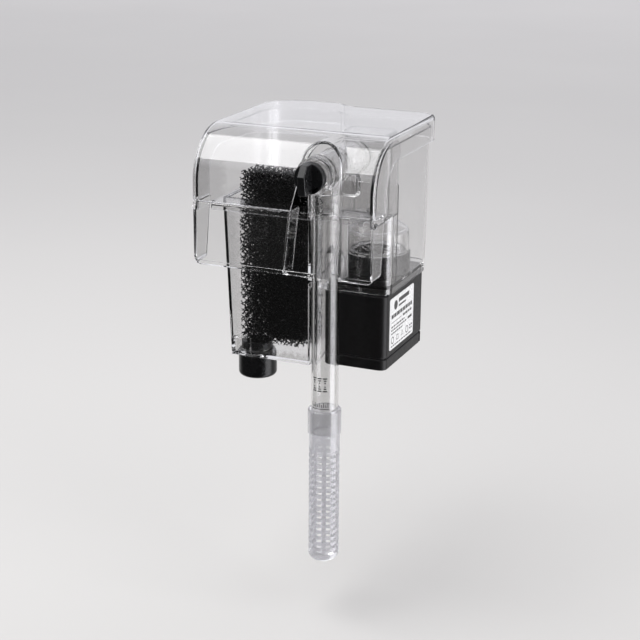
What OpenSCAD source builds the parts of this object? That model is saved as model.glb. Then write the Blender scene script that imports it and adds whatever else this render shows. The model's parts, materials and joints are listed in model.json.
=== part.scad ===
// Hang-on-back aquarium filter with a clear hood, a foam chamber and a pump chamber.
// The origin is the middle of the rim seat: X = 0 at mid-width, Z = 0 on the underside of the bridge.
// -Y is the tank side. Modules are drawn from the plane of the tank glass, Y = 0, and made() shifts them.

/* [Hood] */
// Width of the hood over its side skirts
hood_w = 99.4; // [99:0.1:101]
// Height of the hood's top above the rim
hood_top = 41.2; // [41:0.1:44]
// Distance from the glass to the hood's front
hood_front = 26.8; // [26.8:0.1:28]
// Radius of the rounded front of the hood
nose_r = 27; // [25:0.5:28]
// Depth of the hood's side skirt
skirt_h = 12.9; // [11:0.1:14]
// Wall of the hood
hood_wall = 1.4; // [1.2:0.1:1.5]

/* [Tank body] */
// Wall of the clear body
wall = 1.4; // [1.2:0.1:1.6]
// Depth of the foam chamber below the rim
chamber_h = 84.4; // [84:0.2:90]
// Depth of the splash apron below the rim
apron_h = 28.2; // [24:0.2:30]
// Gap left for the rim of the tank
rim_gap = 10; // [10:0.5:11]

/* [Intake] */
// Outer diameter of the intake tube
tube_d = 14; // [13:0.1:14]
// Lowest point of the strainer below the rim
strainer_low = 184; // [184:1:220]
// Number of rings on the strainer
strainer_rings = 17; // [10:1:17]

/* [Pump] */
// Magnet diameter of the rotor
magnet_d = 14; // [12:0.1:14]
// Number of impeller blades
blade_count = 6; // [3:1:8]
// Diameter of the ceramic shaft
shaft_d = 2; // [1.6:0.1:2.4]

/* [Foam] */
// Width of the foam block
foam_w = 37.5; // [36:0.1:38]
// Depth of the foam block
foam_d = 21; // [18:0.1:22]
// Height of the foam block
foam_h = 92.6; // [80:0.1:94]

/* [Hidden] */
$fn = 64;
// Longer than anything it cuts
far = 120;
// How far a cutting solid runs past the surface that it cuts
over = 0.5;

// Plan sizes of the hood and the body: half width, back at the right, back at the left
hood_half = hood_w / 2;
hood_back = 67;
hood_bulge = 73.5;
body_half = hood_half - 1.8;
body_back = 62.8;
body_bulge = 69.5;
// X at which the back changes between its two depths
bulge_end = -13;
bulge_start = 1;
// Nose centre
nose_y = nose_r - hood_front;
nose_z = hood_top - nose_r;
// Lower edge of the hood's front, and how far the body stands inside the hood
hood_low = 4.8;
inside = hood_wall + 0.4;

// Rounding of the hood's side edges
hood_edge_r = 2.4;
// Dormer over the intake: centre and radius of its arch, and the foot of its leaning left side
dormer_x = 21.3;
dormer_r = 10.8;
dormer_z = 29.9;
dormer_foot = 3.6;
dormer_back = 2;
// The slot in the apron below it: how far its left side leans out
slot_flare = 3.6;
slot_right = dormer_x + dormer_r - hood_wall;
// Sill along the apron's lower edge: height, depth, and where it ends inside the slot
sill_h = 2.2;
sill_d = 2;
sill_end = 17.8;
// Radius of the apron's lower corners
apron_r = 3.8;
// Radius of the body's upright front corner at the pump side
corner_r = 6;

// Chambers
chamber_left = -45;
divider_x = 2.8;
chamber_right = divider_x + wall;
chamber_low_left = -41.2;
pump_floor = -36.5;
floor_t = 2;
pump_low = -41.5;
weir_y = 10.6;
weir_top = 14.4;
bridge_t = 1.6;
lip_y = -14.3;
apron_front = 26.5;
apron_half = hood_half - 0.8;
apron_top = 4.6;

// Intake
tube_x = 20.4;
tube_y = -17.3;
tube_r = tube_d / 2;
tube_bore = tube_r - 1.2;
tube_top = 13.8;
tube_low = -112;
barrel_z = 25.4;
barrel_r = 9.2;
barrel_front = -34.2;
barrel_back = 18.9;
drum_r = 7.45;
drum_bore_r = 7.5;
spigot_r = 8;
spindle_r = 2.4;
knob_r = 7.7;
knob_back = -35.6;
knob_front = -39.7;
grip_w = 3.8;
seal_t = 1.6;
strainer_top = -99.3;
collar_r = 8.65;
strainer_r = 8;
ring_pitch = 3.4;
slot_top = -121.4;

// Duct from the barrel down to the pump
duct_lo = [10.6, barrel_back + seal_t, -8];
duct_hi = [37, 39.5, 35.4];
duct_t = 1.4;

// Pump axis and levels
pump_x = 29.6;
pump_y = 30;
neck_r = 14.3;
pot_r = 13;
pot_floor = -37;
ring_r = 16.4;
ring_top = -26;
cover_spigot_r = 5.8;
well_r = magnet_d / 2 + 0.6;
well_low = -68;
well_wall = 1.4;
magnet_top = -43;
magnet_low = -66;
shaft_r = shaft_d / 2;
run_gap = 0.06;

// Motor case
case_lo = [11.7, 0];
case_hi = [46.3, 57];
case_r = 4;
case_top = -42;
case_seam = -75.3;
case_low = -81.7;
case_wall = 2;
boss_in = 4.6;
boss_r = 3.2;
screw_r = 1.45;
step_top = pump_floor - floor_t;
// Shadow gap round the seam, and the slot in the base's side for prising it off
seam_gap = 0.6;
slot_y = [52, 53.2];
// Step on top of the case, which fits a recess under the pump chamber
step_lo = [13.4, 2.4];
step_hi = [45.4, 54];
seal_in = 14.5;
seal_out = 15.5;
seal_h = 1.1;

// Stator
core_z = [-66, -54];
core_x = [15.3, 43.9];
leg_w = 8.5;
leg_y = 19;
yoke_y = [43.2, 48.4];
pole_r = well_r + well_wall + 0.3;
coil_gap = 3.4;
flange_t = 1;

// Cord
cord_x = 20.8;
cord_z = -60;
cord_r = 2.6;
// Inner end of the cord and the gland, and the radius of the hole that the gland fills
cord_start = case_hi[1] - case_wall - 0.8;
cord_hole_r = 4;
cord_bend_y = 70;
cord_bend_r = 9;
cord_end_z = -92;

// Drain
drain_x = -31.6;
drain_y = 12.6;
drain_r = 7.4;
drain_cap_r = 10.3;
drain_cap_low = -98;

// Distance from the glass to the middle of the rim seat
seat_mid = rim_gap / 2;

// ---------- shared shapes ----------

function arc(cx, cy, r, a0, a1, n = 12) =
    [for (i = [0:n]) let (a = a0 + (a1 - a0) * i / n) [cx + r * cos(a), cy + r * sin(a)]];

// A colour and the shift from the glass plane to the frame's origin
module made(c) {
    color(c) translate([0, seat_mid, 0]) children();
}

// Extrudes a (Y, Z) outline along X
module along_x(x0, x1) {
    translate([x0, 0, 0]) rotate([90, 0, 90]) linear_extrude(x1 - x0) children();
}

// Extrudes an (X, Z) outline along Y
module along_y(y0, y1) {
    translate([0, y1, 0]) rotate([90, 0, 0]) linear_extrude(y1 - y0) children();
}

module disc(x, y, z0, z1, r) {
    translate([x, y, z0]) cylinder(h = z1 - z0, r = r);
}

module tube(x, y, z0, z1, r_out, r_in) {
    difference() {
        disc(x, y, z0, z1, r_out);
        disc(x, y, z0 - over, z1 + over, r_in);
    }
}

// A cylinder along Y on the barrel's axis
module barrel_rod(y0, y1, r) {
    translate([tube_x, y1, barrel_z]) rotate([90, 0, 0]) cylinder(h = y1 - y0, r = r);
}

module block(lo, hi) {
    translate(lo) cube(hi - lo);
}

module rounded_rect(lo, hi, r) {
    polygon(concat(
        arc(hi[0] - r, hi[1] - r, r, 0, 90, 8), arc(lo[0] + r, hi[1] - r, r, 90, 180, 8),
        arc(lo[0] + r, lo[1] + r, r, 180, 270, 8), arc(hi[0] - r, lo[1] + r, r, 270, 360, 8)));
}

// Plan outline with a deeper left part; the back steps between its two depths on two equal arcs
module plan(half, back, bulge, r_right, r_left, d) {
    rise = bulge - back;
    run = bulge_start - bulge_end;
    turn = 2 * atan(rise / run);
    sr = run / (2 * sin(turn));
    polygon(concat(
        [[-half + d, -60], [half - d, -60]],
        arc(half - r_right, back - r_right, r_right - d, 0, 90),
        arc(bulge_start, back + sr, sr + d, -90, -90 - turn),
        arc(bulge_end, bulge - sr, sr - d, 90 - turn, 90),
        arc(-half + r_left, bulge - r_left, r_left - d, 90, 180)));
}

module hood_plan(d) {
    plan(hood_half, hood_back, hood_bulge, 11, 23, d);
}

module body_plan(d) {
    plan(body_half, body_back, body_bulge, 9.5, 21, d);
}

// Side profile of the hood, in (Y, Z), moved in by d and cut off at the height low
module hood_profile(d, low) {
    polygon(concat(
        [[-hood_front + d, low], [far, low], [far, hood_top - d]],
        arc(nose_y, nose_z, nose_r - d, 90, 180, 32)));
}

// The hood's solid, with its edges along both sides rounded
module hood_block(d, low) {
    r = hood_edge_r - d;
    intersection() {
        hull() for (t = [0:22.5:90]) {
            half = hood_half - d - r * (1 - sin(t));
            along_x(-half, half) hood_profile(d + r * (1 - cos(t)), low);
        }
        translate([0, 0, low]) linear_extrude(2 * far) hood_plan(d);
    }
}

// ---------- hood ----------

// Everything inside the lower edge of the side skirt, which follows the hood's nose
module skirt_cut() {
    edge_r = nose_r - skirt_h + 0.7;
    edge_z = hood_top - skirt_h;
    centre = [edge_r - 9.8, edge_z - edge_r];
    along_x(-far, far) polygon(concat(
        [[centre[0] - edge_r, -far], [far, -far], [far, edge_z]],
        arc(centre[0], centre[1], edge_r, 90, 180, 20)));
}

// Arch of the dormer, in (X, Z), moved in by d and open below the height low
module dormer_outline(d, low) {
    polygon(concat(
        [[dormer_x + dormer_r - d, low]],
        arc(dormer_x, dormer_z, dormer_r - d, 0, 165, 24),
        [[dormer_foot + d, hood_low], [dormer_foot + d, low]]));
}

// Side view, in (Y, Z), of the space that the dormer fills; its front edge leans back near the top
module dormer_reach() {
    along_x(-far, far) polygon([
        [-hood_front, 0], [dormer_back, 0], [dormer_back, 60], [-20, 60],
        [-22.7, 40.7], [-25, 36], [-26.4, 30], [-hood_front, 22]]);
}

module lid() {
    made([0.86, 0.87, 0.9, 0.5]) difference() {
        union() {
            hood_block(0, hood_low);
            intersection() {
                along_y(-hood_front, dormer_back) dormer_outline(0, hood_low);
                dormer_reach();
            }
        }
        hood_block(hood_wall, -far);
        skirt_cut();
        along_y(-far, dormer_back) dormer_outline(hood_wall, -far);
    }
}

// ---------- tank body ----------

// The foam chamber, drafted towards its floor
module chamber_block(d, depth) {
    full = chamber_right - chamber_left;
    draft_x = 1 - (chamber_low_left - chamber_left) / full * depth / chamber_h;
    draft_y = 1 - 0.045 * depth / chamber_h;
    translate([chamber_right, 0, 0]) mirror([0, 0, 1])
        linear_extrude(depth, scale = [draft_x, draft_y], slices = 1)
        translate([-chamber_right, 0]) intersection() {
            body_plan(d);
            translate([chamber_left + d, d]) square([full - 2 * d, far]);
        }
}

// The pump chamber, drafted towards its floor
module pump_block(d, depth) {
    translate([divider_x, 0, 0]) mirror([0, 0, 1])
        linear_extrude(depth, scale = [1 - 0.0002 * depth, 1 - 0.0008 * depth], slices = 1)
        translate([-divider_x, 0]) intersection() {
            body_plan(d);
            rounded_rect([divider_x + d - corner_r, d], [body_half - d, far], corner_r - d);
            translate([divider_x + d, d]) square([far, far]);
        }
}

// Side and back walls under the hood; they follow the hood's profile
module tray_walls() {
    intersection() {
        linear_extrude(36.5) difference() {
            body_plan(0);
            body_plan(wall);
        }
        along_x(-far, far) hood_profile(inside, -far);
    }
}

// Splash apron in front of the glass, open below, with a slot for the intake tube
module apron_outline(d, low, r) {
    rounded_rect([-apron_half + d, low], [apron_half - d, apron_top + 20], r);
}

module apron_side_view() {
    polygon([[-apron_front, -far], [-rim_gap - 4.5, -far], [-rim_gap - 4.5, -apron_h],
             [-rim_gap, 0], [-rim_gap, apron_top], [-apron_front, apron_top]]);
}

module slot_outline(d) {
    left = dormer_foot + hood_wall - d;
    right = slot_right + d;
    polygon([[left, far], [left, apron_top], [left - slot_flare, -apron_h], [left - slot_flare, -far],
             [right, -far], [right, far]]);
}

module apron() {
    intersection() {
        along_x(-far, far) apron_side_view();
        difference() {
            union() {
                difference() {
                    along_y(-apron_front, -rim_gap) apron_outline(0, -apron_h, apron_r);
                    along_y(-apron_front + wall, 0) apron_outline(wall, -far, 1);
                }
                intersection() {
                    along_y(-apron_front, -15) slot_outline(wall);
                    along_y(-apron_front, -15) apron_outline(0, -apron_h, apron_r);
                }
            }
            along_y(-far, -rim_gap + over) slot_outline(0);
        }
    }
    apron_sill();
}

// Sill along the apron's lower edge, which stops in front of the intake tube
module apron_sill() {
    along_y(-apron_front, sill_d - apron_front) difference() {
        intersection() {
            apron_outline(0, -apron_h, apron_r);
            translate([-far, -apron_h]) square([2 * far, sill_h]);
        }
        translate([sill_end, -far]) square([slot_right - sill_end, far]);
    }
}

// Bridge over the rim, with its turned-down lip on the tank side
module bridge() {
    block([-body_half, -rim_gap, 0], [body_half, wall, bridge_t]);
    block([chamber_left + 0.3, lip_y, 0], [39.3, -rim_gap, bridge_t]);
    block([chamber_left + 0.3, lip_y, -2], [39.3, lip_y + 1.3, 0]);
}

// Wall between the two chambers, with the port through which the pump's water reaches the foam
module divider() {
    difference() {
        block([divider_x, 0, pump_floor - 1], [chamber_right, body_back + 1, 10]);
        along_x(divider_x - over, chamber_right + over) rounded_rect([44, pump_floor + 2], [58, -22], 3);
    }
}

// Pairs of ribs that keep the foam at the front of its chamber
module foam_ribs() {
    rib_y = 5 + foam_d + 1;
    for (y = [rib_y, rib_y + 4]) {
        block([chamber_low_left + 0.4, y, -chamber_h + 1], [chamber_low_left + 3, y + 1.2, -4]);
        block([chamber_right - 4, y, -chamber_h + 1], [chamber_right - 1, y + 1.2, -4]);
    }
}

// Raised arch on the inside of the front wall
module arch_rib() {
    arch_w = 11;
    along_y(wall - 0.2, wall + 0.9) translate([17.2, 0]) difference() {
        pointed_arch(arch_w);
        pointed_arch(arch_w - 1.8);
    }
}

module pointed_arch(w) {
    spring = -26.5;
    intersection() {
        translate([w / 2, spring]) circle(w);
        translate([-w / 2, spring]) circle(w);
        translate([-w / 2, spring]) square([w, w]);
    }
    translate([-w / 2, pump_floor]) square([w, spring - pump_floor + 0.01]);
}

// Hollow spacer post in the front corner of the foam chamber
module corner_post() {
    difference() {
        block([-40.6, wall - 0.2, -chamber_h + 1], [-31, 4, -74.5]);
        block([-39.2, wall + 0.5, -chamber_h + floor_t], [-32.2, 3.2, -74]);
    }
}

// Bumps on both sides on which the hood's front corners rest
module hood_catches() {
    for (side = [-1, 1])
        translate([side * (apron_half - 0.4), -22.6, 1.2]) rotate([90, 0, 0]) cylinder(h = 3, r = 1.6);
}

module tank_body() {
    made([0.86, 0.87, 0.9, 0.4]) difference() {
        union() {
            difference() {
                union() {
                    chamber_block(0, chamber_h);
                    pump_block(0, -pump_low);
                }
                translate([0, 0, over]) chamber_block(wall, chamber_h - floor_t + over);
                translate([0, 0, over]) pump_block(wall, -pump_floor + over);
                // recess that holds the step on top of the motor
                translate([0, 0, pump_low - over])
                    linear_extrude(step_top - pump_low + over) step_outline(0.3);
            }
            tray_walls();
            tray_ledge();
            bridge();
            apron();
            divider();
            foam_ribs();
            arch_rib();
            corner_post();
            hood_catches();
            block([20, weir_y, pump_floor - 1], [body_half - wall + 0.2, weir_y + 1.2, weir_top]);
        }
        disc(pump_x, pump_y, pump_low, pump_floor + over, neck_r + 0.3);
        disc(drain_x, drain_y, -chamber_h - over, -chamber_h + floor_t + over, drain_r + 0.1);
        // notch in the lip for the intake tube
        disc(tube_x, tube_y, -2 - over, bridge_t + over, tube_r + 0.3);
    }
}

// Shoulder where the full-width tray meets the narrower foam chamber
module tray_ledge() {
    linear_extrude(bridge_t) difference() {
        body_plan(0);
        translate([chamber_left + wall, 0]) square([far, far]);
        translate([-far, -far]) square([2 * far, far]);
    }
}

// ---------- intake ----------

module intake_head() {
    made([0.84, 0.86, 0.9, 0.5]) difference() {
        union() {
            barrel_rod(barrel_front, barrel_back, barrel_r - 0.6);
            // raised bands round the barrel
            for (y = [barrel_front, -30.4, -26.6, -8, 14.5]) barrel_rod(y, y + 2.2, barrel_r);
            barrel_rod(barrel_back - 1, barrel_back + seal_t + 4, spigot_r);
            disc(tube_x, tube_y, bridge_t + 0.1, barrel_z, 8.5);
            disc(tube_x, tube_y, bridge_t + 0.1, 4.4, 9.1);
            // saddle that clips over the weir plate
            block([tube_x - 5.5, weir_y - 3, 6.5], [tube_x + 5.5, weir_y + 4.2, barrel_z - 4]);
        }
        barrel_rod(-30, -10, drum_bore_r);
        barrel_rod(-10 - over, barrel_back + far, 6.5);
        barrel_rod(barrel_front - over, -29, spindle_r + 0.05);
        barrel_rod(-32, -30.6, 3.9);
        disc(tube_x, tube_y, 0, 14, tube_r + 0.05);
        disc(tube_x, tube_y, 13, barrel_z, tube_bore);
        block([tube_x - 7, weir_y - 0.1, 0], [tube_x + 7, weir_y + 1.3, weir_top + 0.1]);
    }
}

module valve_drum() {
    made([0.8, 0.82, 0.85, 0.6]) difference() {
        union() {
            barrel_rod(-29.4, -11, drum_r);
            barrel_rod(knob_front + 0.7, -29, spindle_r);
        }
        barrel_rod(-27.9, 0, drum_r - 1.4);
        disc(tube_x, tube_y, barrel_z - 12, barrel_z, 5.2);
    }
}

// A disc with a tall, straight-sided grip whose crest lies above the middle
module flow_knob() {
    made([0.07, 0.07, 0.08]) difference() {
        union() {
            barrel_rod(knob_front, knob_back, knob_r);
            along_x(tube_x - grip_w / 2, tube_x + grip_w / 2) translate([knob_front, barrel_z])
                polygon([[1, 7.6], [-5.3, 7.6], [-6, 7], [-9.4, 2.4], [-8, -6.4], [-7.2, -7.2], [1, -7.2]]);
        }
        barrel_rod(knob_front + 0.5, knob_back + over, spindle_r);
    }
}

module spindle_o_ring() {
    made([0.12, 0.12, 0.12]) difference() {
        barrel_rod(-32, -30.6, 3.9);
        barrel_rod(-33, -30, spindle_r + 0.04);
    }
}

module intake_tube() {
    made([0.84, 0.86, 0.9, 0.5]) tube(tube_x, tube_y, tube_low, tube_top, tube_r, tube_bore);
}

// The strainer's rings and inner channels cross, which leaves its slots open
module intake_strainer() {
    slots_low = slot_top - strainer_rings * ring_pitch;
    groove_depth = 1.15;
    made([0.84, 0.86, 0.9, 0.5]) translate([tube_x, tube_y, 0]) difference() {
        rotate_extrude() polygon(concat(
            [[0, -strainer_low + 1.6], [0, -strainer_low]],
            arc(strainer_r - 4, -strainer_low + 4, 4, 270, 360, 8),
            [for (i = [strainer_rings - 1:-1:0]) each
                let (z = slot_top - (i + 1) * ring_pitch)
                [[strainer_r, z], [strainer_r - groove_depth, z + 0.3],
                 [strainer_r - groove_depth, z + 1.7], [strainer_r, z + 2]]],
            [[strainer_r, slot_top + 1.5], [strainer_r, -113.4], [collar_r, -112.5],
             [collar_r, strainer_top - 0.6], [collar_r - 0.6, strainer_top], [tube_r + 0.05, strainer_top],
             [tube_r + 0.05, tube_low - 0.2], [strainer_r - 2, tube_low - 0.4],
             [strainer_r - 2, -strainer_low + 1.6]]));
        for (a = [0:45:315]) rotate([0, 0, a])
            block([strainer_r - 3, -1.5, slots_low + 0.4],
                  [strainer_r - groove_depth + 0.3, 1.5, slot_top]);
    }
}

module down_duct() {
    t = duct_t;
    made([0.84, 0.86, 0.9, 0.5]) difference() {
        translate([0, 0, duct_lo[2]]) linear_extrude(duct_hi[2] - duct_lo[2])
            rounded_rect([duct_lo[0], duct_lo[1]], [duct_hi[0], duct_hi[1]], 4);
        translate([0, 0, duct_lo[2] + t]) linear_extrude(duct_hi[2] - duct_lo[2] - 2 * t)
            rounded_rect([duct_lo[0] + t, duct_lo[1] + t], [duct_hi[0] - t, duct_hi[1] - t], 4 - t);
        barrel_rod(barrel_back, duct_lo[1] + t + 4, spigot_r + 0.1);
        disc(pump_x, pump_y, duct_lo[2] - 1, duct_lo[2] + t + 1, cover_spigot_r + 0.1);
    }
}

module duct_seal() {
    made([0.12, 0.12, 0.12]) difference() {
        barrel_rod(barrel_back, barrel_back + seal_t, barrel_r - 0.7);
        barrel_rod(barrel_back - 1, barrel_back + seal_t + 1, spigot_r + 0.02);
    }
}

// ---------- pump ----------

module impeller_cover() {
    made([0.84, 0.86, 0.9, 0.5]) difference() {
        union() {
            translate([pump_x, pump_y, 0]) rotate_extrude() polygon([
                [14.2, ring_top], [15.6, ring_top], [15.6, -15], [14.6, -13], [8, -9],
                [cover_spigot_r, -8.2], [cover_spigot_r, -4],
                [cover_spigot_r - 1.2, -4], [cover_spigot_r - 1.2, -8.8],
                [7.4, -10.2], [13.4, -14], [14.2, -15.4]]);
            tube(pump_x, pump_y, ring_top - 2, ring_top + 1.2, pot_r - 0.1, pot_r - 1.6);
            tube(pump_x, pump_y, ring_top, ring_top + 1.2, 14.6, pot_r - 1);
            disc(pump_x, pump_y, ring_top - 2, ring_top + 1.5, 4);
            for (a = [30, 150, 270]) translate([pump_x, pump_y, 0]) rotate([0, 0, a])
                block([3, -0.8, ring_top - 1.6], [pot_r - 0.8, 0.8, ring_top + 0.6]);
        }
        disc(pump_x, pump_y, ring_top - 3, ring_top + 3, 2.5);
    }
}

module impeller() {
    made([0.92, 0.92, 0.9]) difference() {
        union() {
            disc(pump_x, pump_y, -36.2, -35, 11.6);
            disc(pump_x, pump_y, -35, ring_top - 2.4, 3.5);
            disc(pump_x, pump_y, magnet_top, -36.2, 4.2);
            for (i = [0:blade_count - 1])
                translate([pump_x, pump_y, 0]) rotate([0, 0, i * 360 / blade_count])
                    block([2.8, -0.6, -35.2], [11.2, 0.6, -29.4]);
        }
        disc(pump_x, pump_y, magnet_top - 1, ring_top, shaft_r + run_gap);
    }
}

module rotor_magnet() {
    made([0.2, 0.2, 0.21]) tube(pump_x, pump_y, magnet_low, magnet_top, magnet_d / 2, shaft_r + run_gap);
}

module impeller_shaft() {
    made([0.95, 0.95, 0.93]) disc(pump_x, pump_y, well_low, ring_top + 1, shaft_r);
}

module shaft_bush_upper() {
    made([0.12, 0.12, 0.12]) tube(pump_x, pump_y, ring_top - 2, ring_top + 1.5, 2.5, shaft_r);
}

module shaft_bush_lower() {
    made([0.12, 0.12, 0.12]) tube(pump_x, pump_y, well_low, well_low + 1.6, 4, shaft_r);
}

// The way out of the pump, through the neck and the ring round it
module pump_outlet() {
    block([pump_x - 4, pump_y + 9, -35.4], [pump_x + 4, pump_y + 20, -29.6]);
}

module motor_lock_ring() {
    made([0.06, 0.06, 0.07]) difference() {
        tube(pump_x, pump_y, pump_floor, ring_top, ring_r, neck_r + 0.08);
        for (a = [0:20:340]) translate([pump_x, pump_y, 0]) rotate([0, 0, a])
            disc(ring_r + 0.5, 0, ring_top - 3, ring_top + 1, 1.1);
        pump_outlet();
    }
}

module motor_seal() {
    made([0.12, 0.12, 0.12]) tube(pump_x, pump_y, step_top - seal_h, step_top, seal_out, seal_in);
}

// ---------- motor ----------

module case_outline(d) {
    rounded_rect([case_lo[0] + d, case_lo[1] + d], [case_hi[0] - d, case_hi[1] - d], case_r - d);
}

module step_outline(d) {
    rounded_rect([step_lo[0] - d, step_lo[1] - d], [step_hi[0] + d, step_hi[1] + d], 3);
}

module case_corners() {
    for (x = [case_lo[0] + boss_in, case_hi[0] - boss_in])
        for (y = [case_lo[1] + boss_in, case_hi[1] - boss_in])
        translate([x, y, 0]) children();
}

module motor_housing() {
    made([0.07, 0.07, 0.08]) difference() {
        union() {
            difference() {
                translate([0, 0, case_seam]) linear_extrude(case_top - case_seam) case_outline(0);
                translate([0, 0, case_seam - over])
                    linear_extrude(case_top - case_seam - case_wall + over) case_outline(case_wall);
            }
            translate([0, 0, case_top - 1]) linear_extrude(step_top - case_top + 1)
                step_outline(0);
            disc(pump_x, pump_y, step_top - 1, ring_top - 1, neck_r);
            disc(pump_x, pump_y, well_low - 1.5, case_top, well_r + well_wall);
            case_corners() translate([0, 0, case_seam]) cylinder(h = 8.8, r = boss_r);
        }
        disc(pump_x, pump_y, pot_floor, 0, pot_r);
        disc(pump_x, pump_y, well_low, pot_floor + over, well_r);
        case_corners() translate([0, 0, case_seam - over]) cylinder(h = 8, r = screw_r);
        difference() {
            disc(pump_x, pump_y, step_top - seal_h, step_top + 0.01, seal_out + 0.1);
            disc(pump_x, pump_y, step_top - 2, step_top + 1, seal_in - 0.1);
        }
        translate([cord_x, case_hi[1] + 1, cord_z]) rotate([90, 0, 0]) cylinder(h = 4, r = cord_hole_r);
        pump_outlet();
    }
}

module motor_base() {
    made([0.07, 0.07, 0.08]) difference() {
        union() {
            difference() {
                translate([0, 0, case_low]) linear_extrude(case_seam - case_low) case_outline(0);
                translate([0, 0, case_low + case_wall]) linear_extrude(far) case_outline(case_wall);
            }
            case_corners() translate([0, 0, case_low]) cylinder(h = case_seam - case_low, r = boss_r);
        }
        case_corners() translate([0, 0, case_low - over]) cylinder(h = far, r = screw_r + 0.1);
        case_corners() translate([0, 0, case_low - over]) cylinder(h = over + 2, r = 2.8);
        translate([0, 0, case_seam - seam_gap]) linear_extrude(far) difference() {
            case_outline(-over);
            case_outline(seam_gap);
        }
        block([case_hi[0] - 1, slot_y[0], case_low - over],
              [case_hi[0] + over, slot_y[1], case_seam + over]);
    }
}

module base_screws() {
    made([0.75, 0.75, 0.77]) case_corners() difference() {
        union() {
            translate([0, 0, case_low + 0.2]) cylinder(h = 1.8, r = 2.5);
            translate([0, 0, case_low + 1]) cylinder(h = 11.5, r = screw_r);
        }
        for (a = [0, 90]) translate([0, 0, case_low]) rotate([0, 0, a])
            block([-1.6, -0.3, -1], [1.6, 0.3, 1.1]);
    }
}

module stator_core() {
    made([0.55, 0.56, 0.58]) translate([0, 0, core_z[0]])
        linear_extrude(core_z[1] - core_z[0]) difference() {
        translate([core_x[0], leg_y]) square([core_x[1] - core_x[0], yoke_y[1] - leg_y]);
        translate([core_x[0] + leg_w, leg_y - 1])
            square([core_x[1] - core_x[0] - 2 * leg_w, yoke_y[0] - leg_y + 1]);
        translate([pump_x, pump_y]) circle(pole_r);
    }
}

// Block round the yoke, between the two legs, grown by g
module yoke_block(x0, x1, g) {
    block([x0, yoke_y[0] - g, core_z[0] - g], [x1, yoke_y[1] + g, core_z[1] + g]);
}

module coil_bobbin() {
    x0 = core_x[0] + leg_w + 0.3;
    x1 = core_x[1] - leg_w - 0.3;
    made([0.9, 0.88, 0.82]) difference() {
        union() {
            yoke_block(x0, x1, 0.9);
            yoke_block(x0, x0 + flange_t, coil_gap + 0.3);
            yoke_block(x1 - flange_t, x1, coil_gap + 0.3);
        }
        yoke_block(x0 - 1, x1 + 1, 0.1);
    }
}

module stator_coil() {
    x0 = core_x[0] + leg_w + 0.3 + flange_t;
    x1 = core_x[1] - leg_w - 0.3 - flange_t;
    made([0.72, 0.4, 0.2]) difference() {
        yoke_block(x0, x1, coil_gap);
        yoke_block(x0 - 1, x1 + 1, 0.9);
    }
}

module power_cord() {
    made([0.06, 0.06, 0.06]) {
        translate([cord_x, cord_bend_y, cord_z]) rotate([90, 0, 0])
            cylinder(h = cord_bend_y - cord_start, r = cord_r);
        translate([cord_x, cord_bend_y, cord_z - cord_bend_r]) rotate([0, -90, 0])
            rotate_extrude(angle = 90) translate([cord_bend_r, 0]) circle(cord_r);
        disc(cord_x, cord_bend_y + cord_bend_r, cord_end_z, cord_z - cord_bend_r, cord_r);
    }
}

module cord_gland() {
    flange_r = 5.4;
    inner = cord_start - case_hi[1];
    made([0.08, 0.08, 0.08]) translate([cord_x, case_hi[1], cord_z]) rotate([-90, 0, 0])
        rotate_extrude() polygon([
            [cord_r, inner], [5, inner], [5, -case_wall], [cord_hole_r, -case_wall], [cord_hole_r, 0],
            [flange_r, 0], [flange_r, 1.6], [flange_r - 0.8, 2.4], [3.5, 12], [cord_r, 12]]);
}

module rating_label() {
    made([0.96, 0.96, 0.96]) along_x(case_hi[0], case_hi[0] + 0.25)
        rounded_rect([5.7, -72.4], [40.7, -44.8], 1.2);
}

// ---------- foam and drain ----------

module filter_sponge() {
    made([0.05, 0.05, 0.05]) translate([-38.6, 5, -77.8]) linear_extrude(foam_h)
        rounded_rect([0, 0], [foam_w, foam_d], 1.5);
}

module drain_fitting() {
    made([0.06, 0.06, 0.07]) difference() {
        union() {
            disc(drain_x, drain_y, -chamber_h + floor_t, -78.4, 8.2);
            disc(drain_x, drain_y, -95, -chamber_h + floor_t + 1, drain_r);
        }
        disc(drain_x, drain_y, -96, -78, drain_r - 1.8);
    }
}

module drain_cap() {
    rim_r = 2.2;
    made([0.05, 0.05, 0.06]) difference() {
        translate([drain_x, drain_y, 0]) rotate_extrude() polygon(concat(
            [[0, drain_cap_low]],
            arc(drain_cap_r - rim_r, drain_cap_low + rim_r, rim_r, 270, 360, 8),
            [[drain_cap_r, -chamber_h - 1.4], [0, -chamber_h - 1.4]]));
        disc(drain_x, drain_y, -95.4, -80, drain_r + 0.08);
    }
}

module drain_seal() {
    made([0.12, 0.12, 0.12]) tube(drain_x, drain_y, -chamber_h - 1.4, -chamber_h, 9.4, drain_r + 0.08);
}

tank_body();
lid();
intake_head();
down_duct();
duct_seal();
intake_tube();
intake_strainer();
flow_knob();
valve_drum();
spindle_o_ring();
impeller_cover();
impeller();
rotor_magnet();
impeller_shaft();
shaft_bush_upper();
shaft_bush_lower();
motor_lock_ring();
motor_seal();
motor_housing();
motor_base();
base_screws();
stator_core();
coil_bobbin();
stator_coil();
power_cord();
cord_gland();
rating_label();
filter_sponge();
drain_fitting();
drain_cap();
drain_seal();
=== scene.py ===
"""Looks of a clear hang-on-back aquarium filter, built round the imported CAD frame. Lengths are in metres."""
import json
import math
import random

import bmesh
import bpy
from mathutils import Matrix, Vector
from mathutils import noise as noise_lib

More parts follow.
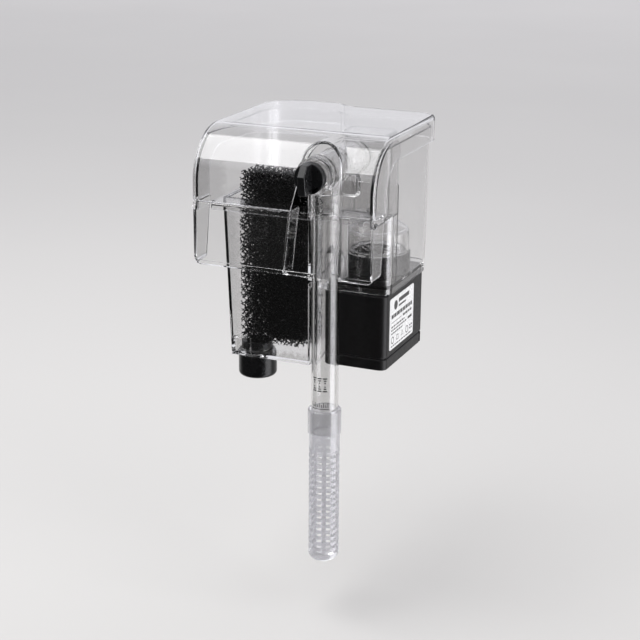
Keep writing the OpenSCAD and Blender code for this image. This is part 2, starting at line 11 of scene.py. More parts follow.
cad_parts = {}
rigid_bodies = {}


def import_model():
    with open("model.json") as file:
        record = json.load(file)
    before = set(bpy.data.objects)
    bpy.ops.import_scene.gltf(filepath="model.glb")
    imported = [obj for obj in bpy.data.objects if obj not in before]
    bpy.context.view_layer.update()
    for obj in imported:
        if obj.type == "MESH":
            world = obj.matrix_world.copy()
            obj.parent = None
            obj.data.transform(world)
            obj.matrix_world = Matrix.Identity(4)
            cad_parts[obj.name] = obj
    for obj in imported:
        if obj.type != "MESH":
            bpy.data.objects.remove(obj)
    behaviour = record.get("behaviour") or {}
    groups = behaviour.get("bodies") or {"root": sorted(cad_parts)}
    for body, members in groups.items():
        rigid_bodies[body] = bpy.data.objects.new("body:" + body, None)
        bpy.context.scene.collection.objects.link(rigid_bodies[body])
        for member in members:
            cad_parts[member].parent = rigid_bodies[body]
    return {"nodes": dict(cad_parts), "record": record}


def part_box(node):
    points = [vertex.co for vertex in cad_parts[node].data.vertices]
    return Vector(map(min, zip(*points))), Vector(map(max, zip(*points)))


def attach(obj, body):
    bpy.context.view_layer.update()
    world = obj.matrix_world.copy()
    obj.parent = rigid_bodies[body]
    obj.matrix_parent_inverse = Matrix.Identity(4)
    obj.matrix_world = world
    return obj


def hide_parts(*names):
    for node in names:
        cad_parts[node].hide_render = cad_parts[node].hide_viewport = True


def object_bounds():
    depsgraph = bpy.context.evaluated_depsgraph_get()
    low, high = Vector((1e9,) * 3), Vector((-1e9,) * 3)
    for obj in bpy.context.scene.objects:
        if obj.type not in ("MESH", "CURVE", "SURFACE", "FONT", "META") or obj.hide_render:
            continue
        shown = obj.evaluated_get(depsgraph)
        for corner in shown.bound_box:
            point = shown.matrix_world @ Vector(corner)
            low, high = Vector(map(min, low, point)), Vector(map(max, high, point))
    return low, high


MM = 0.001
SEED = 11
# strength of the floor's painted glow, a painted reflection seen only in reflections
PAINTED_GLOW_STRENGTH = 5.0

for old in list(bpy.data.objects):
    bpy.data.objects.remove(old)
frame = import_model()
cad_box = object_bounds()
NODES = frame["nodes"]

# ---------- node material helpers ----------


def new_material(name):
    """An empty material, its node tree and its output node."""
    material = bpy.data.materials.new(name)
    material.use_nodes = True
    tree = material.node_tree
    tree.nodes.clear()
    return material, tree, tree.nodes.new("ShaderNodeOutputMaterial")


def put(tree, kind, values=None, **settings):
    """Adds a node, sets its properties and its input values, and returns it."""
    node = tree.nodes.new(kind)
    for key, value in settings.items():
        setattr(node, key, value)
    for key, value in (values or {}).items():
        node.inputs[key].default_value = value
    return node


def place(tree, stretch=(1, 1, 1)):
    """Coordinates in metres in the frame of the object, stretched along each axis."""
    coords = put(tree, "ShaderNodeTexCoord")
    mapping = put(tree, "ShaderNodeMapping", {"Scale": stretch})
    tree.links.new(coords.outputs["Object"], mapping.inputs["Vector"])
    return mapping.outputs["Vector"]


def noise(tree, size, detail=3.0, rough=0.5, stretch=(1, 1, 1)):
    """Noise whose features measure about size metres."""
    node = put(tree, "ShaderNodeTexNoise", {"Scale": 1 / size, "Detail": detail, "Roughness": rough})
    tree.links.new(place(tree, stretch), node.inputs["Vector"])
    return node.outputs["Fac"]


def spread(tree, value, low, high, start=0.3, end=0.7):
    """Maps a value from start..end to low..high."""
    node = put(tree, "ShaderNodeMapRange",
               {"From Min": start, "From Max": end, "To Min": low, "To Max": high})
    tree.links.new(value, node.inputs["Value"])
    return node.outputs["Result"]


def mixed(tree, factor, first, second):
    """A colour between two colours; factor is a number's socket."""
    node = put(tree, "ShaderNodeMix", data_type="RGBA")
    tree.links.new(factor, node.inputs["Factor"])
    for socket, colour in ((node.inputs[6], first), (node.inputs[7], second)):
        if isinstance(colour, (tuple, list)):
            socket.default_value = (*colour, 1)
        else:
            tree.links.new(colour, socket)
    return node.outputs[2]


def bump(tree, height, distance):
    """A normal bent by a height; distance is the relief in metres."""
    node = put(tree, "ShaderNodeBump", {"Distance": distance, "Strength": 1.0})
    tree.links.new(height, node.inputs["Height"])
    return node.outputs["Normal"]


def edge_wear(tree, radius):
    """About 1 on sharp edges and 0 on flat faces, from the difference between true and rounded normals."""
    round_normal = put(tree, "ShaderNodeBevel", {"Radius": radius}, samples=4)
    true_normal = put(tree, "ShaderNodeNewGeometry")
    dot = put(tree, "ShaderNodeVectorMath", operation="DOT_PRODUCT")
    tree.links.new(round_normal.outputs["Normal"], dot.inputs[0])
    tree.links.new(true_normal.outputs["Normal"], dot.inputs[1])
    return spread(tree, dot.outputs["Value"], 1.0, 0.0, 0.8, 0.99)


def solid_material(name, colour, other, grain, rough, relief=0.0, metal=0.0, sheen=0.0, coat=0.0, wear=None,
                   gloss=0.5):
    """An opaque finish: two mottled tones, varied roughness, fine relief and lighter worn edges."""
    material, tree, out = new_material(name)
    surface = put(tree, "ShaderNodeBsdfPrincipled",
                  {"Metallic": metal, "Sheen Weight": sheen, "Coat Weight": coat,
                   "Specular IOR Level": gloss})
    tone = mixed(tree, spread(tree, noise(tree, grain * 6), 0, 1), colour, other)
    if wear:
        tone = mixed(tree, edge_wear(tree, 0.5 * MM), tone, wear)
    tree.links.new(tone, surface.inputs["Base Color"])
    tree.links.new(spread(tree, noise(tree, grain * 3), *rough), surface.inputs["Roughness"])
    if relief:
        normal = bump(tree, noise(tree, grain, 2.0), relief)
        tree.links.new(normal, surface.inputs["Normal"])
    tree.links.new(surface.outputs[0], out.inputs["Surface"])
    return material


def clear_plastic(name, tint, rough, sag, cloud=0.0):
    """Moulded clear plastic: refractive to the eye, and clear to lamps so that what is inside is lit."""
    material, tree, out = new_material(name)
    surface = put(tree, "ShaderNodeBsdfPrincipled", {"Transmission Weight": 1.0, "IOR": 1.49})
    tone = mixed(tree, spread(tree, noise(tree, 30 * MM), 0, 1), tint, [c * 0.985 for c in tint])
    tree.links.new(tone, surface.inputs["Base Color"])
    tree.links.new(spread(tree, noise(tree, 9 * MM), rough, rough + 0.025), surface.inputs["Roughness"])
    normal = bump(tree, noise(tree, 14 * MM, 1.0), sag)
    tree.links.new(normal, surface.inputs["Normal"])
    passing = put(tree, "ShaderNodeBsdfTransparent", {"Color": (*[c * 0.97 for c in tint], 1)})
    path = put(tree, "ShaderNodeLightPath")
    either = put(tree, "ShaderNodeMath", operation="MAXIMUM")
    tree.links.new(path.outputs["Is Shadow Ray"], either.inputs[0])
    tree.links.new(path.outputs["Is Diffuse Ray"], either.inputs[1])
    mix = put(tree, "ShaderNodeMixShader")
    tree.links.new(either.outputs[0], mix.inputs["Fac"])
    tree.links.new(surface.outputs[0], mix.inputs[1])
    tree.links.new(passing.outputs[0], mix.inputs[2])
    shown = mix.outputs[0]
    if cloud:
        haze = put(tree, "ShaderNodeBsdfTranslucent", {"Color": (0.85, 0.85, 0.88, 1)})
        blend = put(tree, "ShaderNodeMixShader", {"Fac": cloud})
        tree.links.new(shown, blend.inputs[1])
        tree.links.new(haze.outputs[0], blend.inputs[2])
        shown = blend.outputs[0]
    tree.links.new(shown, out.inputs["Surface"])
    return material


def laminated_steel():
    """Stacked steel sheets, each half a millimetre thick."""
    material, tree, out = new_material("laminations")
    surface = put(tree, "ShaderNodeBsdfPrincipled", {"Metallic": 1.0})
    wave = put(tree, "ShaderNodeTexWave", {"Scale": 1 / (3.2 * MM), "Distortion": 0.6}, bands_direction="Z")
    tree.links.new(place(tree), wave.inputs["Vector"])
    tone = mixed(tree, wave.outputs["Fac"], (0.16, 0.16, 0.18), (0.46, 0.47, 0.5))
    tree.links.new(tone, surface.inputs["Base Color"])
    tree.links.new(spread(tree, noise(tree, 2 * MM), 0.3, 0.55), surface.inputs["Roughness"])
    tree.links.new(bump(tree, wave.outputs["Fac"], 0.05 * MM), surface.inputs["Normal"])
    tree.links.new(surface.outputs[0], out.inputs["Surface"])
    return material


def math_node(tree, operation, first, second=None):
    """A number worked out from two sockets or values."""
    node = put(tree, "ShaderNodeMath", operation=operation)
    for index, value in enumerate((first, second)):
        if isinstance(value, (int, float)):
            node.inputs[index].default_value = value
        elif value is not None:
            tree.links.new(value, node.inputs[index])
    return node.outputs[0]


def sector(tree, azimuth, rise_from, rise_to, fall_from, fall_to):
    """1 between two bearings in degrees and 0 outside them, with soft ends."""
    rise = spread(tree, azimuth, 0.0, 1.0, math.radians(rise_from), math.radians(rise_to))
    fall = spread(tree, azimuth, 1.0, 0.0, math.radians(fall_from), math.radians(fall_to))
    return math_node(tree, "MULTIPLY", rise, fall)


def floor_material():
    """Pale matt paper, painted lighter far from the filter. Only reflections see painted shade on it (a dark
    patch, tank side) and a painted glow (a bright patch, pump side).
    """
    material, tree, out = new_material("pale_floor")
    surface = put(tree, "ShaderNodeBsdfPrincipled", {"Roughness": 0.9, "Specular IOR Level": 0.1})
    split = put(tree, "ShaderNodeSeparateXYZ")
    tree.links.new(place(tree), split.inputs[0])
    # Painted light: the floor colour runs from darker near the filter to lighter far behind it, making up for
    # lamp light that fades with distance.
    away = spread(tree, split.outputs["Y"], 0, 1, -0.3, 2.6)
    tone = mixed(tree, away, (0.48, 0.473, 0.46), (0.78, 0.767, 0.748))
    mottled = mixed(tree, spread(tree, noise(tree, 0.4, 2.0), 0, 0.06), tone, (0.38, 0.38, 0.38))
    tree.links.new(mottled, surface.inputs["Base Color"])
    toward_tank = math_node(tree, "MULTIPLY", split.outputs["Y"], -1.0)
    azimuth = math_node(tree, "ARCTAN2", split.outputs["X"], toward_tank)
    path = put(tree, "ShaderNodeLightPath")
    reflected = math_node(tree, "MINIMUM", path.outputs["Glossy Depth"], 1.0)
    mirror = math_node(tree, "SUBTRACT", reflected, path.outputs["Is Diffuse Ray"])
    mirror.node.use_clamp = True
    # painted shade: in reflections only, the floor shows a dark patch on the tank side
    painted_shade_in_reflections = math_node(tree, "MULTIPLY", sector(tree, azimuth, -110, -85, 42, 60), mirror)
    # painted glow: in reflections only, the floor glows as a bright patch on the pump side, though it is no
    # lamp
    painted_glow_in_reflections = math_node(tree, "MULTIPLY", sector(tree, azimuth, 66, 72, 104, 122), mirror)
    dark = put(tree, "ShaderNodeEmission", {"Color": (0.06, 0.06, 0.06, 1)})
    under = put(tree, "ShaderNodeMixShader")
    tree.links.new(painted_shade_in_reflections, under.inputs["Fac"])
    tree.links.new(surface.outputs[0], under.inputs[1])
    tree.links.new(dark.outputs[0], under.inputs[2])
    shown = put(tree, "ShaderNodeEmission", {"Color": (0.96, 0.96, 1.0, 1)})
    tree.links.new(math_node(tree, "MULTIPLY", painted_glow_in_reflections, PAINTED_GLOW_STRENGTH), shown.inputs["Strength"])
    both = put(tree, "ShaderNodeAddShader")
    tree.links.new(under.outputs[0], both.inputs[0])
    tree.links.new(shown.outputs[0], both.inputs[1])
    tree.links.new(both.outputs[0], out.inputs["Surface"])
    return material


BLACK_WEAR = (0.016, 0.016, 0.017)
FINISH = {
    "clear_hood": clear_plastic("clear_hood", (0.94, 0.938, 0.938), 0.01, 0.03 * MM),
    "clear_body": clear_plastic("clear_body", (0.93, 0.928, 0.928), 0.015, 0.03 * MM),
    "clear_pipe": clear_plastic("clear_pipe", (0.84, 0.838, 0.835), 0.03, 0.02 * MM),
    "clear_strainer": clear_plastic("clear_strainer", (0.86, 0.86, 0.865), 0.1, 0.02 * MM, cloud=0.25),
    "black_case": solid_material(
        "black_case", (0.004, 0.004, 0.004), (0.007, 0.0065, 0.007), 0.4 * MM, (0.3, 0.42),
        0.03 * MM, wear=BLACK_WEAR, gloss=0.16),
    "black_knob": solid_material(
        "black_knob", (0.004, 0.004, 0.0045), (0.007, 0.007, 0.0075), 0.5 * MM, (0.24, 0.36),
        0.02 * MM, wear=BLACK_WEAR, gloss=0.28),
    "black_cap": solid_material(
        "black_cap", (0.004, 0.004, 0.0045), (0.007, 0.007, 0.0075), 0.5 * MM, (0.16, 0.28),
        0.02 * MM, wear=BLACK_WEAR, gloss=0.2),
    "foam": solid_material(
        "foam", (0.001, 0.001, 0.001), (0.002, 0.002, 0.0022), 0.3 * MM, (0.2, 0.35), 0.02 * MM,
        gloss=0.12),
    "seal_rubber": solid_material(
        "seal_rubber", (0.014, 0.014, 0.014), (0.022, 0.021, 0.02), 0.25 * MM, (0.6, 0.8),
        0.03 * MM, sheen=0.1),
    "cord": solid_material(
        "cord", (0.012, 0.012, 0.012), (0.018, 0.018, 0.018), 0.4 * MM, (0.42, 0.58), 0.04 * MM),
    "rotor_plastic": solid_material(
        "rotor_plastic", (0.82, 0.82, 0.79), (0.74, 0.74, 0.7), 0.6 * MM, (0.3, 0.45), 0.02 * MM),
    "bobbin": solid_material(
        "bobbin", (0.8, 0.76, 0.66), (0.7, 0.66, 0.56), 0.6 * MM, (0.4, 0.55), 0.02 * MM),
    "magnet": solid_material(
        "magnet", (0.05, 0.05, 0.052), (0.09, 0.09, 0.092), 0.35 * MM, (0.4, 0.6), 0.04 * MM,
        metal=0.5),
    "ceramic": solid_material("ceramic", (0.85, 0.85, 0.82), (0.78, 0.78, 0.75), 0.5 * MM, (0.1, 0.2)),
    "screw_steel": solid_material(
        "screw_steel", (0.56, 0.56, 0.58), (0.44, 0.44, 0.46), 0.2 * MM, (0.2, 0.38), 0.01 * MM,
        metal=1.0),
    "copper": solid_material(
        "copper", (0.66, 0.26, 0.1), (0.5, 0.17, 0.06), 0.3 * MM, (0.18, 0.32), metal=1.0,
        coat=0.6),
    "label": solid_material(
        "label", (0.86, 0.86, 0.86), (0.82, 0.82, 0.82), 0.4 * MM, (0.22, 0.32), 0.004 * MM),
    "ink": solid_material("ink", (0.01, 0.01, 0.01), (0.03, 0.03, 0.03), 0.2 * MM, (0.35, 0.5)),
    "laminations": laminated_steel(),
}
SLOT_OF = {part["node"]: part["material_slot"] for part in frame["record"]["subparts"]}
for name, node in NODES.items():
    node.data.materials.clear()
    node.data.materials.append(FINISH["clear_strainer" if name == "intake_strainer" else SLOT_OF[name]])

# ---------- rounded moulded edges on the CAD shells ----------


def weld_group():
    """Geometry nodes that join split corners and drop stored normals, so that edges can be rounded."""
    group = bpy.data.node_groups.new("weld_shell", "GeometryNodeTree")
    group.interface.new_socket("Geometry", in_out="INPUT", socket_type="NodeSocketGeometry")
    group.interface.new_socket("Geometry", in_out="OUTPUT", socket_type="NodeSocketGeometry")
    enter = group.nodes.new("NodeGroupInput")
    leave = group.nodes.new("NodeGroupOutput")
    drop = group.nodes.new("GeometryNodeRemoveAttribute")
    drop.inputs["Name"].default_value = "custom_normal"
    weld = group.nodes.new("GeometryNodeMergeByDistance")
    weld.inputs["Distance"].default_value = 0.06 * MM
    smooth_edges = group.nodes.new("GeometryNodeSetShadeSmooth")
    smooth_edges.domain = "EDGE"
    smooth_faces = group.nodes.new("GeometryNodeSetShadeSmooth")
    last = enter.outputs[0]
    for step in (drop, weld, smooth_edges, smooth_faces):
        group.links.new(last, step.inputs["Geometry"])
        last = step.outputs["Geometry"]
    group.links.new(last, leave.inputs[0])
    return group


def edge_group():
    """Geometry nodes that keep corners sharp and give every sharp outer edge a bevel weight of 1."""
    group = bpy.data.node_groups.new("mark_edges", "GeometryNodeTree")
    group.interface.new_socket("Geometry", in_out="INPUT", socket_type="NodeSocketGeometry")
    group.interface.new_socket("Geometry", in_out="OUTPUT", socket_type="NodeSocketGeometry")
    enter = group.nodes.new("NodeGroupInput")
    leave = group.nodes.new("NodeGroupOutput")
    angle = group.nodes.new("GeometryNodeInputMeshEdgeAngle")
    sharp = group.nodes.new("ShaderNodeMath")
    sharp.operation = "GREATER_THAN"
    sharp.inputs[1].default_value = math.radians(35)
    store = group.nodes.new("GeometryNodeStoreNamedAttribute")
    store.data_type = "FLOAT"
    store.domain = "EDGE"
    store.inputs["Name"].default_value = "bevel_weight_edge"
    corner = group.nodes.new("ShaderNodeMath")
    corner.operation = "GREATER_THAN"
    corner.inputs[1].default_value = math.radians(28)
    keep = group.nodes.new("GeometryNodeSetShadeSmooth")
    keep.domain = "EDGE"
    keep.inputs["Shade Smooth"].default_value = False
    group.links.new(angle.outputs["Signed Angle"], sharp.inputs[0])
    group.links.new(angle.outputs["Unsigned Angle"], corner.inputs[0])
    group.links.new(sharp.outputs[0], store.inputs["Value"])
    group.links.new(corner.outputs[0], keep.inputs["Selection"])
    group.links.new(enter.outputs[0], store.inputs["Geometry"])
    group.links.new(store.outputs[0], keep.inputs["Geometry"])
    group.links.new(keep.outputs[0], leave.inputs[0])
    return group


WELD = weld_group()
MARK = edge_group()
ROUNDING = {
    "lid": 0.6, "tank_body": 0.5, "flow_knob": 0.4, "motor_housing": 0.5, "motor_base": 0.5, "drain_cap": 0.3,
    "intake_head": 0.3, "down_duct": 0.5, "motor_lock_ring": 0.3, "impeller_cover": 0.25, "intake_tube": 0.25,
    "drain_fitting": 0.25, "cord_gland": 0.2, "impeller": 0.15, "rotor_magnet": 0.2, "coil_bobbin": 0.2,
    "stator_core": 0.1, "valve_drum": 0.2,
}
for name, radius in ROUNDING.items():
    weld = NODES[name].modifiers.new("weld", "NODES")
    weld.node_group = WELD
    flat = NODES[name].modifiers.new("flat", "DECIMATE")
    flat.decimate_type = "DISSOLVE"
    flat.angle_limit = math.radians(0.6)
    mark = NODES[name].modifiers.new("mark", "NODES")
    mark.node_group = MARK
    edge = NODES[name].modifiers.new("edge", "BEVEL")
    edge.width = radius * MM
    edge.segments = 3
    edge.limit_method = "WEIGHT"
    edge.use_clamp_overlap = False
    shade = NODES[name].modifiers.new("shade", "WEIGHTED_NORMAL")
    shade.keep_sharp = True
    shade.weight = 100

# ---------- new pieces ----------


def add_piece(name, form, material, body, smooth=False):
    """Turns a bmesh or a (points, faces) pair into a piece that rides on a body."""
    mesh = bpy.data.meshes.new(name)
    if isinstance(form, tuple):
        mesh.from_pydata(form[0], [], form[1])
    else:
        bmesh.ops.recalc_face_normals(form, faces=form.faces)
        form.to_mesh(mesh)
        form.free()
    mesh.materials.append(FINISH[material])
    if smooth:
        mesh.polygons.foreach_set("use_smooth", [True] * len(mesh.polygons))
    mesh.update()
    piece = bpy.data.objects.new(name, mesh)
    bpy.context.scene.collection.objects.link(piece)
    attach(piece, body)
    return piece


def kelvin_web(low, high, cell):
    """Vertices and edges of space-filling truncated octahedra over a box, on a grid of quarter cells."""
    corners = []
    for a in (-1, 1):
        for b in (-2, 2):
            for first, second, third in ((0, a, b), (0, b, a), (a, 0, b), (b, 0, a), (a, b, 0), (b, a, 0)):
                corners.append((first, second, third))
    sides = [(i, j) for i in range(24) for j in range(i)
             if sum((corners[i][k] - corners[j][k]) ** 2 for k in range(3)) == 2]
    counts = [math.ceil((high[k] - low[k]) / cell) for k in range(3)]
    places, edges = {}, set()
    for odd in (0, 2):
        for x in range(counts[0] + 1):
            for y in range(counts[1] + 1):
                for z in range(counts[2] + 1):
                    centre = (4 * x + odd, 4 * y + odd, 4 * z + odd)
                    keys = [tuple(centre[k] + corner[k] for k in range(3)) for corner in corners]
                    for key in keys:
                        if key not in places:
                            places[key] = Vector([low[k] + key[k] * cell / 4 for k in range(3)])
                    edges.update(tuple(sorted((keys[i], keys[j]))) for i, j in sides)
    return places, sorted(edges)


def depth_in(point, low, high, round_r=0.0):
    """How far a point lies inside a box with rounded corners; negative outside it."""
    out = [abs(point[k] - (low[k] + high[k]) / 2) - (high[k] - low[k]) / 2 + round_r for k in range(3)]
    beyond = math.sqrt(sum(max(value, 0.0) ** 2 for value in out))
    return round_r - beyond - min(max(out), 0.0)


def strut(points, faces, start, end, thick_start, thick_end):
    """A closed three-sided bar."""
    axis = (end - start).normalized()
    side = axis.orthogonal().normalized()
    other = axis.cross(side)
    base = len(points)
    for centre, radius in ((start, thick_start), (end, thick_end)):
        for turn in range(3):
            angle = math.tau * turn / 3
            points.append(centre + (side * math.cos(angle) + other * math.sin(angle)) * radius)
    for turn in range(3):
        after = (turn + 1) % 3
        faces.append((base + turn, base + after, base + 3 + after, base + 3 + turn))
    faces.append((base + 2, base + 1, base))
    faces.append((base + 3, base + 4, base + 5))


def build_foam():
    """Open-cell foam: webs of struts over a dark core. The web is deeper at the drain side and on top."""
    low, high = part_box("filter_sponge")
    core_low = low + Vector((15.0, 3.6, 3.0)) * MM
    core_high = high - Vector((2.4, 2.4, 7.0)) * MM
    cell = 4.2 * MM
    hidden = 0.8 * MM
    rng = random.Random(SEED)
    places, edges = kelvin_web(low - Vector((cell,) * 3), high, cell)
    for key in sorted(places):
        places[key] += Vector([rng.uniform(-1, 1) for _ in range(3)]) * 0.15 * cell
    depths = {key: depth_in(point, low, high, 2.5 * MM) - abs(noise_lib.noise(point / (7 * MM))) * 0.7 * MM
              for key, point in places.items()}
    sunk = {key for key, point in places.items() if depth_in(point, core_low, core_high) > hidden}
    halves = ([], []), ([], [])
    for first, second in edges:
        start, end = places[first], places[second]
        depth_start, depth_end = depths[first], depths[second]
        if max(depth_start, depth_end) < 0.05 * MM or (first in sunk and second in sunk):
            continue
        if depth_start < 0:
            start = start.lerp(end, depth_start / (depth_start - depth_end))
        elif depth_end < 0:
            end = end.lerp(start, depth_end / (depth_end - depth_start))
        if (end - start).length < 0.15 * MM:
            continue
        thick = rng.uniform(0.2, 0.36) * MM
        points, faces = halves[start.x < core_low.x]
        strut(points, faces, start, end, thick, thick * rng.uniform(0.7, 1.3))
    front = add_piece("foam_web", halves[0], "foam", "filter_body")
    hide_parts("filter_sponge")
    add_piece("foam_web_side", halves[1], "foam", "filter_body")
    core = pitted_block(core_low, core_high)
    add_piece("foam_core", core, "foam", "filter_body", smooth=True)


def pitted_block(low, high):
    """A closed box of small squares with its surface pushed in by cellular noise."""
    pitch = 0.75 * MM
    form = bmesh.new()
    for axis in range(3):
        first, second = (axis + 1) % 3, (axis + 2) % 3
        steps = [math.ceil((high[k] - low[k]) / pitch) for k in (first, second)]
        for side in (0, 1):
            grid = []
            for i in range(steps[0] + 1):
                row = []
                for j in range(steps[1] + 1):
                    point = Vector((0, 0, 0))
                    point[axis] = (low, high)[side][axis]
                    point[first] = low[first] + (high[first] - low[first]) * i / steps[0]
                    point[second] = low[second] + (high[second] - low[second]) * j / steps[1]
                    row.append(form.verts.new(point))
                grid.append(row)
            for i in range(steps[0]):
                for j in range(steps[1]):
                    form.faces.new((grid[i][j], grid[i + 1][j], grid[i + 1][j + 1], grid[i][j + 1]))
    bmesh.ops.remove_doubles(form, verts=form.verts, dist=0.01 * MM)
    middle = (low + high) / 2
    for vert in form.verts:
        pit = voronoi_pit(vert.co / (2.2 * MM))
        toward = Vector((0, 0, 0))
        for k in range(3):
            if min(vert.co[k] - low[k], high[k] - vert.co[k]) < 0.1 * MM:
                toward[k] = -1 if vert.co[k] > middle[k] else 1
        vert.co += toward * pit * 1.5 * MM
    return form


def voronoi_pit(point):
    """0 on the walls between noise cells and about 1 at their middles."""
    near = noise_lib.voronoi(point)[0]
    return min(1.0, 1.8 * (near[1] - near[0]))


def bar(form, u0, u1, v0, v1, plane, thick):
    """A flat printed bar on a plane of constant X; u runs along Y and v along Z."""
    corners = [(u0, v0), (u1, v0), (u1, v1), (u0, v1)]
    back = [form.verts.new((plane - thick, u, v)) for u, v in corners]
    front = [form.verts.new((plane + thick, u, v)) for u, v in corners]
    form.faces.new(back[::-1])
    form.faces.new(front)
    for k in range(4):
        form.faces.new((back[k], back[(k + 1) % 4], front[(k + 1) % 4], front[k]))


def ring(form, u, v, r_out, r_in, sides, plane, thick, turn=0.0):
    """A flat printed outline with the given number of sides; solid when r_in is 0."""
    rims = []
    for x in (plane - thick, plane + thick):
        for radius in (r_out, r_in):
            rims.append([form.verts.new((x, u + radius * math.cos(turn + math.tau * k / sides),
                                         v + radius * math.sin(turn + math.tau * k / sides)))
                         for k in range(sides)] if radius else None)
    back_out, back_in, front_out, front_in = rims
    if r_in == 0:
        form.faces.new(back_out[::-1])
        form.faces.new(front_out)
    for k in range(sides):
        n = (k + 1) % sides
        form.faces.new((back_out[k], back_out[n], front_out[n], front_out[k]))
        if r_in:
            form.faces.new((back_in[n], back_in[k], front_in[k], front_in[n]))
            form.faces.new((front_out[k], front_out[n], front_in[n], front_in[k]))
            form.faces.new((back_out[n], back_out[k], back_in[k], back_in[n]))


def build_label_print():
    """Plain bars, dashes and outlines in place of the label's printing."""
    low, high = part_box("rating_label")
    plane = high.x + 0.005 * MM
    thick = 0.02 * MM
    wide, tall = high.y - low.y, high.z - low.z
    form = bmesh.new()
    rng = random.Random(SEED)

    def fill(u0, u1, v0, v1):
        bar(form, low.y + u0 * wide, low.y + u1 * wide, low.z + v0 * tall, low.z + v1 * tall, plane, thick)

    def dashes(u0, u1, v, height, shortest, longest):
        u = u0
        while u < u1:
            end = min(u1, u + rng.uniform(shortest, longest))
            fill(u, end, v, v + height)
            u = end + 0.022

    ring(form, low.y + 0.24 * wide, low.z + 0.83 * tall, 2.5 * MM, 0, 32, plane, thick)
    fill(0.36, 0.80, 0.84, 0.92)
    fill(0.36, 0.66, 0.755, 0.79)
    dashes(0.07, 0.93, 0.60, 0.075, 0.06, 0.12)
    dashes(0.55, 0.93, 0.50, 0.045, 0.05, 0.10)
    fill(0.07, 0.50, 0.515, 0.525)
    for v, end in ((0.42, 0.62), (0.355, 0.70), (0.29, 0.55)):
        dashes(0.07, end, v, 0.03, 0.03, 0.08)
    fill(0.76, 0.93, 0.36, 0.41)
    for u, sides, turn in ((0.13, 28, 0), (0.33, 4, math.pi / 4), (0.53, 3, math.pi / 2), (0.73, 28, 0)):
        ring(form, low.y + u * wide, low.z + 0.17 * tall, 2.0 * MM, 1.5 * MM, sides, plane, thick, turn)
    dashes(0.84, 0.95, 0.19, 0.03, 0.03, 0.05)
    dashes(0.84, 0.95, 0.13, 0.03, 0.03, 0.05)
    dashes(0.07, 0.93, 0.045, 0.022, 0.04, 0.10)
    add_piece("label_print", form, "ink", "filter_body")


def tube_patch(form, centre, radius, half_turn, middle, z0, z1):
    """A thin printed patch that wraps round a tube; angles are in radians from the -Y side."""
    steps = max(1, round(half_turn / 0.06))
    thick = 0.02 * MM
    angles = [middle + half_turn * (2 * k / steps - 1) for k in range(steps + 1)]
    rims = []
    for reach in (radius - thick, radius + thick):
        for z in (z0, z1):
            rims.append([form.verts.new((centre.x + reach * math.sin(angle),
                                         centre.y - reach * math.cos(angle), z)) for angle in angles])
    in_low, in_high, out_low, out_high = rims
    for k in range(steps):
        form.faces.new((out_low[k], out_low[k + 1], out_high[k + 1], out_high[k]))
        form.faces.new((in_low[k + 1], in_low[k], in_high[k], in_high[k + 1]))
        form.faces.new((in_low[k], in_low[k + 1], out_low[k + 1], out_low[k]))
        form.faces.new((in_high[k + 1], in_high[k], out_high[k], out_high[k + 1]))
    form.faces.new((in_low[0], out_low[0], out_high[0], in_high[0]))
    form.faces.new((out_low[-1], in_low[-1], in_high[-1], out_high[-1]))


def build_level_marks():
    """A water-level line with plain ticks and dashes above it, on the front of the intake tube."""
    low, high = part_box("intake_tube")
    centre = (low + high) / 2
    radius = (high.x - low.x) / 2
    line_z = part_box("intake_strainer")[1].z + 1.4 * MM
    form = bmesh.new()
    tube_patch(form, centre, radius, 0.78, 0.0, line_z, line_z + 0.35 * MM)
    for k in range(-4, 5):
        rise = 2.6 if k % 2 == 0 else 1.5
        tube_patch(form, centre, radius, 0.03, k * 0.16, line_z + 1.0 * MM, line_z + (1.0 + rise) * MM)
    for row, base in enumerate((9.6, 14.0)):
        for k in range(-1, 2):
            for step in range(3):
                half = 0.15 - 0.045 * step if row == 0 else 0.06 + 0.045 * step
                start = line_z + (base + 1.2 * step) * MM
                tube_patch(form, centre, radius, half, k * 0.42, start, start + 0.65 * MM)
    add_piece("level_marks", form, "ink", "intake_pipe")


def build_winding():
    """Copper wire wound in one visible layer round the bobbin, over a filled core."""
    low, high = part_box("stator_coil")
    wire = 0.3 * MM
    turns = int((high.x - low.x - wire) / (2.05 * wire))
    middle = (low + high) / 2
    half_y, half_z = (high.y - low.y) / 2 - wire, (high.z - low.z) / 2 - wire
    corner = 2.4 * MM
    loop = []
    for sign_y, sign_z, start in ((1, 1, 0), (-1, 1, 90), (-1, -1, 180), (1, -1, 270)):
        for step in range(5):
            angle = math.radians(start + 22.5 * step)
            loop.append((sign_y * (half_y - corner) + corner * math.cos(angle),
                         sign_z * (half_z - corner) + corner * math.sin(angle)))
    curve = bpy.data.curves.new("winding", "CURVE")
    curve.dimensions = "3D"
    curve.bevel_depth = wire
    curve.bevel_resolution = 1
    curve.use_fill_caps = True
    line = curve.splines.new("POLY")
    line.points.add(turns * len(loop) - 1)
    for k in range(turns * len(loop)):
        y, z = loop[k % len(loop)]
        x = low.x + wire + (high.x - low.x - 2 * wire) * k / (turns * len(loop) - 1)
        line.points[k].co = (x, middle.y + y, middle.z + z, 1)
    curve.materials.append(FINISH["copper"])
    wound = bpy.data.objects.new("winding", curve)
    bpy.context.scene.collection.objects.link(wound)
    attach(wound, "filter_body")
    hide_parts("stator_coil")


build_foam()
build_label_print()
build_level_marks()
build_winding()

# ---------- stage ----------


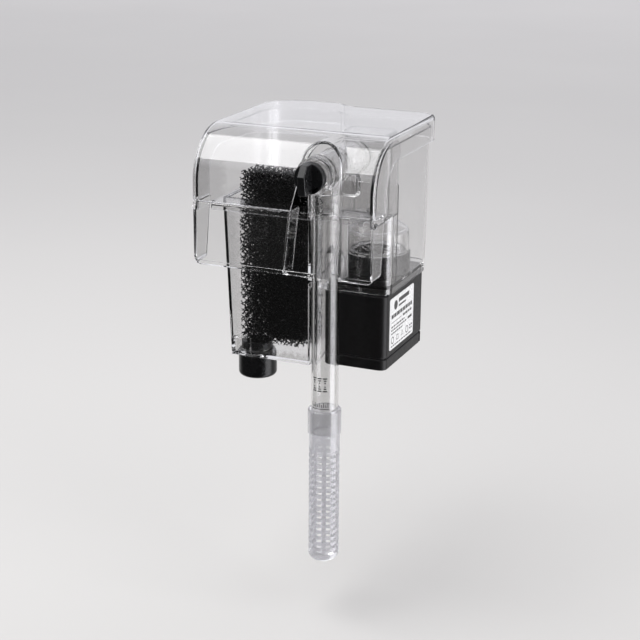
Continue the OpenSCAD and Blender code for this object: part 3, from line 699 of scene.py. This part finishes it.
def area_light(name, direction, distance, width, height, power, aim, level=False):
    """A soft box that faces aim from the given direction, or only tilts towards it when level is true."""
    light = bpy.data.lights.new(name, "AREA")
    light.shape = "RECTANGLE"
    light.size = width
    light.size_y = height
    light.energy = power
    item = bpy.data.objects.new(name, light)
    bpy.context.scene.collection.objects.link(item)
    away = Vector(direction).normalized()
    item.location = aim + away * distance
    item.rotation_mode = "QUATERNION"
    facing = Vector((0, away.y, away.z)) if level else away
    item.rotation_quaternion = facing.to_track_quat("Z", "Y")
    return item


def studio_world():
    """Soft surroundings, a little darker overhead than at the horizon, and dark low down at the tank side."""
    world = bpy.data.worlds.new("studio")
    bpy.context.scene.world = world
    world.use_nodes = True
    tree = world.node_tree
    tree.nodes.clear()
    coords = put(tree, "ShaderNodeTexCoord")
    split = put(tree, "ShaderNodeSeparateXYZ")
    tree.links.new(coords.outputs["Generated"], split.inputs[0])
    level = spread(tree, split.outputs["Z"], 0.0, 1.0, -0.1, 0.9)
    tone = mixed(tree, level, (0.95, 0.95, 1.0), (0.8, 0.8, 0.84))
    open_side = spread(tree, split.outputs["Y"], 0.0, 1.0, -0.75, -0.6)
    above = spread(tree, split.outputs["Z"], 0.0, 1.0, 0.32, 0.5)
    light = put(tree, "ShaderNodeBackground", {"Strength": 1.0})
    open_or_above = math_node(tree, "MAXIMUM", open_side, above)
    tree.links.new(mixed(tree, open_or_above, (0.05, 0.05, 0.052), tone), light.inputs["Color"])
    out = put(tree, "ShaderNodeOutputWorld")
    tree.links.new(light.outputs[0], out.inputs["Surface"])


def build_floor(low):
    """A wide pale floor that stays below the strainer at every pose."""
    mesh = bpy.data.meshes.new("floor")
    form = bmesh.new()
    bmesh.ops.create_circle(form, cap_ends=True, radius=6.0, segments=96)
    form.to_mesh(mesh)
    form.free()
    mesh.materials.append(floor_material())
    floor = bpy.data.objects.new("floor", mesh)
    floor.location.z = low - 0.032
    bpy.context.scene.collection.objects.link(floor)


def build_camera():
    """The view that the reference shows: 23 degrees to the pump side and 18 degrees down."""
    azimuth, elevation, roll = (math.radians(angle) for angle in (23.1, 18.0, 0.43))
    back = Vector((math.sin(azimuth) * math.cos(elevation), -math.cos(azimuth) * math.cos(elevation),
                   math.sin(elevation)))
    level_right = Vector((math.cos(azimuth), math.sin(azimuth), 0))
    level_up = back.cross(level_right)
    right = level_right * math.cos(roll) + level_up * math.sin(roll)
    up = level_up * math.cos(roll) - level_right * math.sin(roll)
    data = bpy.data.cameras.new("camera")
    data.lens = 90
    data.sensor_width = 36
    data.clip_start = 0.05
    camera = bpy.data.objects.new("camera", data)
    bpy.context.scene.collection.objects.link(camera)
    place_at = Vector((0, 0.005, 0)) + back * 0.81426 + right * 0.00884 - up * 0.05692
    turn = Matrix((right, up, back)).transposed().to_4x4()
    camera.matrix_world = Matrix.Translation(place_at) @ turn
    bpy.context.scene.camera = camera


AIM = Vector((0, 0.03, -0.03))
build_floor(cad_box[0].z)
build_camera()
studio_world()
area_light("key", (-0.42, -0.3, 0.856), 0.9, 0.73, 0.92, 9.0, AIM, level=True)
area_light("side", (0.85, -0.2, 0.4), 1.0, 0.6, 0.9, 5.0, AIM)
cycles = bpy.context.scene.cycles
cycles.max_bounces = 32
cycles.transmission_bounces = 32
cycles.transparent_max_bounces = 32
cycles.glossy_bounces = 8
cycles.caustics_refractive = False
cycles.caustics_reflective = False
bpy.context.scene.view_settings.view_transform = "Standard"
